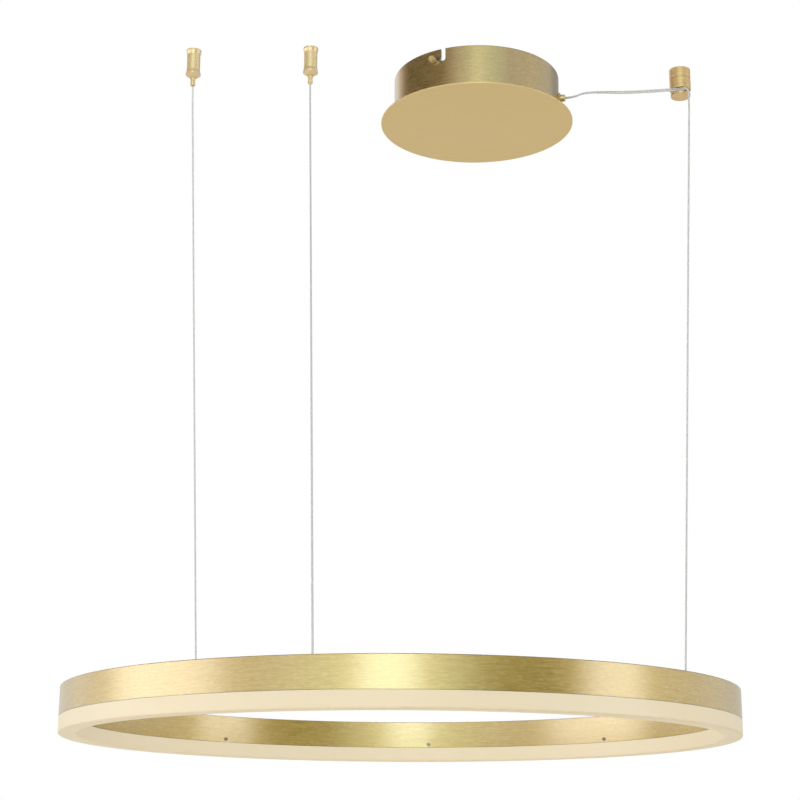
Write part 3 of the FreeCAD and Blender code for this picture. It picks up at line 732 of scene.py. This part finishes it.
cableSizes = {
    "Spacing": 0.0017,
    "Half Thickness": 0.00095,
    "Core Radius": 0.00055,
    "Core Strands": 6,
    "Core Steps": 18,
    "Lay": 0.011,
    "Step": 0.0012,
    "Steps": 40,
    "Jacket": materials["clear_cable"],
    "Core": materials["steel_wire"],
}
cableWidth = round(cableSizes["Spacing"] + cableSizes["Half Thickness"] * 2, 6)
cables = {
    "supply_cable_lead": {
        "node": "power_cable_lead",
        "route": (
            (0.08872, -0.01886, -0.0260),
            (0.0970, -0.0206, -0.0260),
            (0.1070, -0.0224, -0.0219),
            (0.1240, -0.0249, -0.0224),
            (0.1460, -0.0281, -0.0242),
            (0.1700, -0.0316, -0.0245),
            (0.1870, -0.0340, -0.0241),
            (0.2000, -0.0354, -0.0241),
            (0.2090, -0.0409, -0.0241),
            (0.2090, -0.0409, -0.0320),
        ),
        "flat": (
            (0.0, (0.21, 0.98, 0)),
            (0.2, (0.15, 0.7, 0.7)),
            (0.45, (0, 0, 1)),
            (0.9, (0, 0.2, 1)),
            (1.0, (0.2, 1, 0)),
        ),
        "length": 0.1299,
        "bendFrom": (0.0887, -0.0189, -0.026),
        "bendTo": (0.195, -0.035, -0.0245),
    },
    "supply_cable_drop": {
        "node": "power_cable_drop",
        "route": (
            (0.2090, -0.0409, -0.0320),
            (0.2090, -0.0409, -0.0440),
            (0.20877, -0.03902, -0.05585),
            (0.19825, 0.04741, -0.59992),
            (0.19792, 0.05012, -0.6170),
            (0.19792, 0.05012, -0.6343),
        ),
        "flat": ((0.0, (0.2, 1, 0)), (1.0, (0.2, 1, 0))),
        "length": 0.6095,
    },
    "driver_output_cable": {
        "node": "output_lead",
        "route": (
            (0.0440, 0.0030, -0.0328),
            (0.0550, 0.0030, -0.0328),
            (0.0649, -0.0138, -0.0260),
            (0.088425, -0.018795, -0.0260),
        ),
        "flat": ((0.0, (0, 1, 0)), (1.0, (0.21, 0.98, 0))),
        "length": 0.0531,
    },
}


def cableTree(sizes):
    # Two stranded cores side by side in a clear jacket. The mesh's attribute "flat" says which
    # way the wide side lies.
    bench, mesh, size = newTree("twinCable", sizes)
    path = resampled(bench, mesh, size["Step"])
    values = {"Name": "flat"}
    flat = bench.add("GeometryNodeInputNamedAttribute", {"data_type": "FLOAT_VECTOR"}, values)
    half = size["Spacing"] / 2
    radius = size["Half Thickness"]

    def findReach(angle):
        across = half * angle.maths("COSINE").maths("ABSOLUTE")
        swing = half * angle.maths("SINE")
        return across + (radius * radius - swing * swing).maths("SQRT")

    values = {"Curve": path, "Normal": flat}
    lying = bench.add("GeometryNodeSetCurveNormal", {"mode": "FREE"}, values)
    jacket = swept(bench, lying, shapedProfile(bench, size["Steps"], findReach))
    parts = [coated(bench, jacket, size["Jacket"])]
    core = (size["Core Radius"], size["Core Strands"], size["Lay"], size["Core Steps"])
    for side in (-1, 1):
        values = {0: flat, "Scale": half * side}
        shift = bench.add("ShaderNodeVectorMath", {"operation": "SCALE"}, values)
        values = {"Geometry": path, "Offset": shift}
        beside = bench.add("GeometryNodeSetPosition", None, values)
        parts.append(coated(bench, twisted(bench, beside, *core), size["Core"]))
    joined = bench.add("GeometryNodeJoinGeometry", None, {0: parts[0]})
    for part in parts[1:]:
        bench.tree.links.new(part.socket, joined.socket.node.inputs[0])
    whole = bench.add("GeometryNodeRealizeInstances", None, {"Geometry": joined})
    bench.add("NodeGroupOutput", None, {0: whole})
    return bench.tree


def layFlat(mesh, points, flat):
    # Writes the direction of the cable's wide side at each point, square to the path.
    whole = pathLength(points)
    attribute = mesh.attributes.new("flat", "FLOAT_VECTOR", "POINT")
    last = len(points) - 1
    gone = 0.0
    for k, point in enumerate(points):
        before = points[max(k - 1, 0)]
        after = points[min(k + 1, last)]
        ahead = (after - before).normalized()
        share = min(gone / whole, 1.0)
        for (low, first), (high, second) in zip(flat, flat[1:]):
            if share <= high:
                side = Vector(first).lerp(Vector(second), (share - low) / (high - low))
                break
        attribute.data[k].vector = (side - ahead * side.dot(ahead)).normalized()
        if k < last:
            gone += (after - point).length


twinCable = cableTree(cableSizes)
for name, cable in cables.items():
    followed, points = splinePath(name + "Line", cable["route"])
    layFlat(followed, points, cable["flat"])
    cable["piece"] = grow(name, followed, twinCable, cableSizes)
    cable["points"] = points
    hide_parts(cable["node"])
    print(name, round(pathLength(points), 4), "m")

lead = cables["supply_cable_lead"]
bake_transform(lead["piece"])
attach(cables["driver_output_cable"]["piece"], "canopy")
drop = cables["supply_cable_drop"]
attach(drop["piece"], "ceiling_fixings")
hook = drop["route"][0]
keep = shareKept(hook[2] - ring["top"], ringTravel)
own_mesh(drop["piece"])
print("twin cable:", len(cables), "stretches")

# the mains leads in the canopy, from the terminal block to the driver

leadSizes = {"Radius": 0.0013, "Step": 0.001, "Steps": 20, "Skin": materials["mains_insulation"]}
leads = {
    "live_lead": {
        "route": (
            (-0.0430, -0.0345, -0.0388),
            (-0.0630, -0.0345, -0.0388),
            (-0.0700, -0.0140, -0.0388),
            (-0.0700, 0.0130, -0.0388),
            (-0.0560, 0.0130, -0.0388),
        ),
        "length": 0.0738,
        "skin": materials["mains_insulation"],
    },
    "neutral_lead": {
        "route": (
            (-0.0430, -0.0295, -0.0388),
            (-0.0580, -0.0295, -0.0388),
            (-0.0640, -0.0140, -0.0388),
            (-0.0640, 0.0080, -0.0388),
            (-0.0560, 0.0080, -0.0388),
        ),
        "length": 0.0554,
        "skin": materials["blue_insulation"],
    },
}


def leadTree(sizes):
    bench, mesh, size = newTree("roundLead", sizes)
    path = resampled(bench, mesh, size["Step"])
    skin = swept(bench, path, roundProfile(bench, size["Steps"], size["Radius"]))
    return endTree(bench, skin, size["Skin"])


roundLead = leadTree(leadSizes)
for name, core in leads.items():
    followed, points = splinePath(name + "Line", core["route"])
    piece = grow(name, followed, roundLead, {**leadSizes, "Skin": core["skin"]})
    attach(piece, "canopy")
    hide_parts("mains_leads")
    leadSizes["Radius"] * 2
    print(name, round(pathLength(points), 4), "m")

# camera

view = {
    "place": (-0.0745, -1.6369, -0.7857),
    "pitch": math.radians(15.33),
    "roll": 0.0052,
    "yaw": 0.0011,
    "lens": 78.72,
    "sensor": 36.0,
    "near": 0.05,
    "far": 60.0,
}
camera = bpy.data.objects.new("camera", bpy.data.cameras.new("camera"))
bpy.context.scene.collection.objects.link(camera)
turned = Matrix.Rotation(view["yaw"], 4, "Z")
raised = Matrix.Rotation(math.pi / 2 + view["pitch"], 4, "X")
rolled = Matrix.Rotation(view["roll"], 4, "Z")
camera.matrix_world = Matrix.Translation(view["place"]) @ turned @ raised @ rolled
camera.data.lens = view["lens"]
camera.data.sensor_width = view["sensor"]
camera.data.clip_start = view["near"]
camera.data.clip_end = view["far"]
bpy.context.scene.camera = camera

# What the gold mirrors: soft cards, and shades with a negative strength, in a pale room. Each is
# azimuth from the front, half width, height above the level and half height, all in degrees,
# strength, and the name of its tint. It is full within the first share of its half width or half
# height, and gone at the second.
studio = {
    "room": 0.6,
    "backdrop": 0.66,
    "backdropSpan": (-0.2, 0.6),
    "left": 0.16,
    "leftSpan": (-0.6, 0.2),
    "ceiling": 0.5,
    "ceilingSpan": (0.65, 0.9),
    "ambient": 0.82,
    "ambientTint": paint(255, 252, 246),
    "white": paint(255, 253, 250),
    "behind": paint(255, 255, 255),
    "tints": {"cool": paint(243, 255, 240), "brown": paint(255, 214, 176)},
    "sideShares": (0.3, 1.8),
    "endShares": (0.4, 1.5),
    "cards": (
        (-4, 7, 6, 10, 3.3, "cool"),
        (-20, 16, 6, 10, 0.5, None),
        (12, 9, 6, 10, 0.5, "cool"),
        (-5, 24, 6, 10, 0.5, "cool"),
        (-83, 17, 6, 8, 2.9, None),
        (-52, 12, 6, 10, 0.5, None),
        (-122, 12, 6, 10, 0.3, None),
        (72, 9, 6, 8, 2.6, None),
        (105, 22, 6, 10, 0.3, None),
        (36, 15, 6, 12, -0.5, None),
        (14, 17, 27, 9, 0.52, "cool"),
        (46, 12, 27, 9, 0.28, None),
        (88, 22, 27, 9, 0.15, None),
        (-86, 36, 27, 12, -0.7, "brown"),
        (-142, 14, 27, 10, 0.2, None),
        (146, 14, 27, 10, -0.3, None),
    ),
}


def makeWorld(look):
    world = bpy.data.worlds.new("studio")
    world.use_nodes = True
    world.node_tree.nodes.clear()
    bpy.context.scene.world = world
    bench = Bench(world.node_tree)
    x, y, z = bench.split(bench.add("ShaderNodeTexCoord", output="Generated"))
    flattened = {0: bench.vector(x, y, 0.0)}
    level = bench.add("ShaderNodeVectorMath", {"operation": "NORMALIZE"}, flattened)
    east, north = bench.split(level)[:2]
    shine = bench.smooth(north, *look["backdropSpan"]) * (look["backdrop"] - look["room"])
    shine = look["room"] + shine
    shine = shine + (1 - bench.smooth(east, *look["leftSpan"])) * look["left"]
    colour = look["white"]
    for azimuth, half, height, tall, strength, tint in look["cards"]:
        turn = math.radians(azimuth)
        values = {0: level, 1: (math.sin(turn), -math.cos(turn), 0.0)}
        near = bench.add("ShaderNodeVectorMath", {"operation": "DOT_PRODUCT"}, values, "Value")
        full, gone = (math.cos(math.radians(half * share)) for share in look["sideShares"])
        card = bench.smooth(near, gone, full)
        off = (z - math.sin(math.radians(height))).maths("ABSOLUTE")
        full, gone = (math.sin(math.radians(tall)) * share for share in look["endShares"])
        card = card * (1 - bench.smooth(off, full, gone))
        shine = shine + card * strength
        if tint:
            colour = bench.mix(card, colour, look["tints"][tint])
    high = bench.smooth(z, *look["ceilingSpan"])
    shine = shine * (1 - high) + high * look["ceiling"]

    def background(tone, strength):
        return bench.add("ShaderNodeBackground", None, {"Color": tone, "Strength": strength})

    plain = background(look["ambientTint"], look["ambient"])
    mirror = background(colour, shine)
    white = background(look["behind"], 1.0)
    ray = bench.add("ShaderNodeLightPath", output="Is Camera Ray")
    values = {0: ray.out("Is Glossy Ray"), 1: plain, 2: mirror}
    shade = bench.add("ShaderNodeMixShader", None, values)
    seen = ray.maths("MAXIMUM", ray.out("Is Transmission Ray"))
    shade = bench.add("ShaderNodeMixShader", None, {0: seen, 1: shade, 2: white})
    bench.add("ShaderNodeOutputWorld", None, {"Surface": shade})


makeWorld(studio)

# lamps, which all look at the subject

lamps = {
    "front": {"place": (-0.5, -2.6, 0.5), "size": 1.6, "power": 11.0},
    "left": {"place": (-2.6, -0.3, 0.1), "size": 1.4, "power": 9.0},
    "right": {"place": (2.4, -0.9, 0.2), "size": 1.2, "power": 4.0},
    "below": {"place": (-0.7, -0.5, -2.2), "size": 1.8, "power": 4.0},
}
subject = Vector((-0.07, -0.05, -0.45))
for name, lamp in lamps.items():
    light = bpy.data.lights.new(name + "Lamp", "AREA")
    light.size = lamp["size"]
    light.energy = lamp["power"]
    stand = bpy.data.objects.new(name + "Lamp", light)
    bpy.context.scene.collection.objects.link(stand)
    stand.location = lamp["place"]
    stand.visible_glossy = False  # the cards do the mirroring
    stand.visible_camera = False
    stand.rotation_euler = (subject - stand.location).to_track_quat("-Z", "Y").to_euler()

# the floor, far below

floorLook = {
    **plasticLook,
    "light": paint(248, 247, 245),
    "dark": paint(243, 242, 240),
    "grainScale": 60.0,
    "cloudScale": 0.8,
    "roughness": 0.7,
    "bump": 0.05,
}
reach, low = 9.0, -2.4
corners = [(-reach, -reach, low), (reach, -reach, low), (reach, reach, low), (-reach, reach, low)]
floorMesh = bpy.data.meshes.new("floor")
floorMesh.from_pydata(corners, [], [(0, 1, 2, 3)])
floor = bpy.data.objects.new("floor", floorMesh)
bpy.context.scene.collection.objects.link(floor)
floorMesh.materials.append(mouldedPlastic("floor_paint", floorLook))

bpy.context.scene.view_settings.view_transform = "Standard"
print("camera and light: ready")
